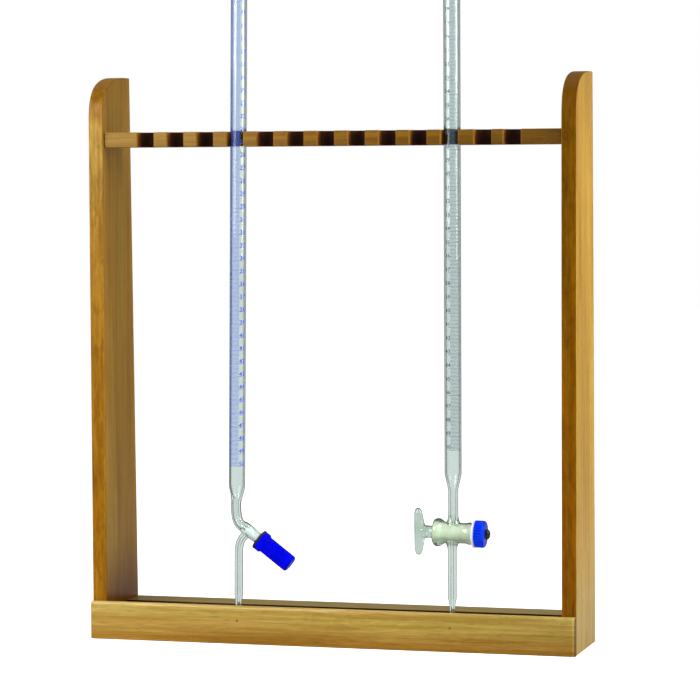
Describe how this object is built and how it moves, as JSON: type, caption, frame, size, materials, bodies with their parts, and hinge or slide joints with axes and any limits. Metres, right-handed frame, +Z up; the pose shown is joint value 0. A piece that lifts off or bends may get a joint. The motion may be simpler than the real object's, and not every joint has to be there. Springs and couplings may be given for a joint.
{
  "type": "burette rack",
  "caption": "Varnished wooden rack with a notched comb rail and a tip trough, holding glass burettes: one with a needle valve, one with a glass key stopcock.",
  "frame": {"origin": "on the table under the middle of the rack's box, so z = 0 is the underside of the uprights and the lip", "axes": "+X along the rack to the needle-valve burette's right, +Y from the lip and notches to the back, +Z up"},
  "size_m": [0.4, 0.0816, 0.7351],
  "materials": {
    "rack_wood": "varnished beech",
    "dowel_wood": "bare beech",
    "brad_steel": "dulled",
    "clear_glass": "polished, faint green tint",
    "white_ptfe": "waxy white",
    "pale_silicone": "translucent, matt",
    "black_rubber": "matt",
    "blue_plastic": "moulded blue",
    "black_plastic": "satin"
  },
  "bodies": {
    "stand": {"left_upright": "rack_wood", "right_upright": "rack_wood", "comb_rail": "rack_wood", "base_shelf": "rack_wood", "front_lip": "rack_wood", "rail_dowel_left": "dowel_wood", "rail_dowel_right": "dowel_wood", "shelf_dowel_left_1": "dowel_wood", "shelf_dowel_left_2": "dowel_wood", "shelf_dowel_right_1": "dowel_wood", "shelf_dowel_right_2": "dowel_wood", "lip_brad_1": "brad_steel", "lip_brad_2": "brad_steel"},
    "burette_a": {"glass_body_a": "clear_glass"},
    "needle_a": {"needle_spindle_a": "white_ptfe", "needle_o_ring_a_1": "pale_silicone", "needle_o_ring_a_2": "pale_silicone"},
    "knob_a_body": {"knob_a": "blue_plastic", "knob_gasket_a": "black_rubber"},
    "burette_b": {"glass_body_b": "clear_glass"},
    "key_b": {"glass_key_b": "clear_glass", "key_thread_b": "black_plastic", "key_washer_b": "white_ptfe"},
    "tension_ring_b": {"key_o_ring_b": "black_rubber"},
    "nut_b": {"tension_nut_b": "blue_plastic"}
  },
  "joints": [
    {"name": "burette_a_lift", "type": "slide", "parent": "stand", "child": "burette_a", "axis": [0.0071, -0.2462, 0.9692], "range_m": [0, 0.11]},
    {"name": "needle_a_travel", "type": "slide", "parent": "burette_a", "child": "needle_a", "axis": [0.7995, -0.0084, -0.6006], "range_m": [0, 0.004]},
    {"name": "knob_a_turn", "type": "hinge", "parent": "needle_a", "child": "knob_a_body", "pos_m": [-0.07388, -0.02624, 0.0929], "axis": [0.7995, -0.0084, -0.6006], "range_deg": [0, 722]},
    {"name": "burette_b_lift", "type": "slide", "parent": "stand", "child": "burette_b", "axis": [-0.0032, -0.2462, 0.9692], "range_m": [0, 0.11]},
    {"name": "key_b_turn", "type": "hinge", "parent": "burette_b", "child": "key_b", "pos_m": [0.09933, -0.02624, 0.09263], "axis": [0.9998, -0.0002, -0.0176], "continuous": true},
    {"name": "nut_b_travel", "type": "slide", "parent": "key_b", "child": "tension_ring_b", "axis": [0.9998, -0.0002, -0.0176], "range_m": [0, 0.002]},
    {"name": "nut_b_turn", "type": "hinge", "parent": "tension_ring_b", "child": "nut_b", "pos_m": [0.09933, -0.02624, 0.09263], "axis": [0.9998, -0.0002, -0.0176], "range_deg": [0, 722]}
  ],
  "couplings": [
    {"joint": "knob_a_turn", "follows": "needle_a_travel", "rad_per_m": 3141.6},
    {"joint": "nut_b_turn", "follows": "nut_b_travel", "rad_per_m": 6283.2}
  ]
}
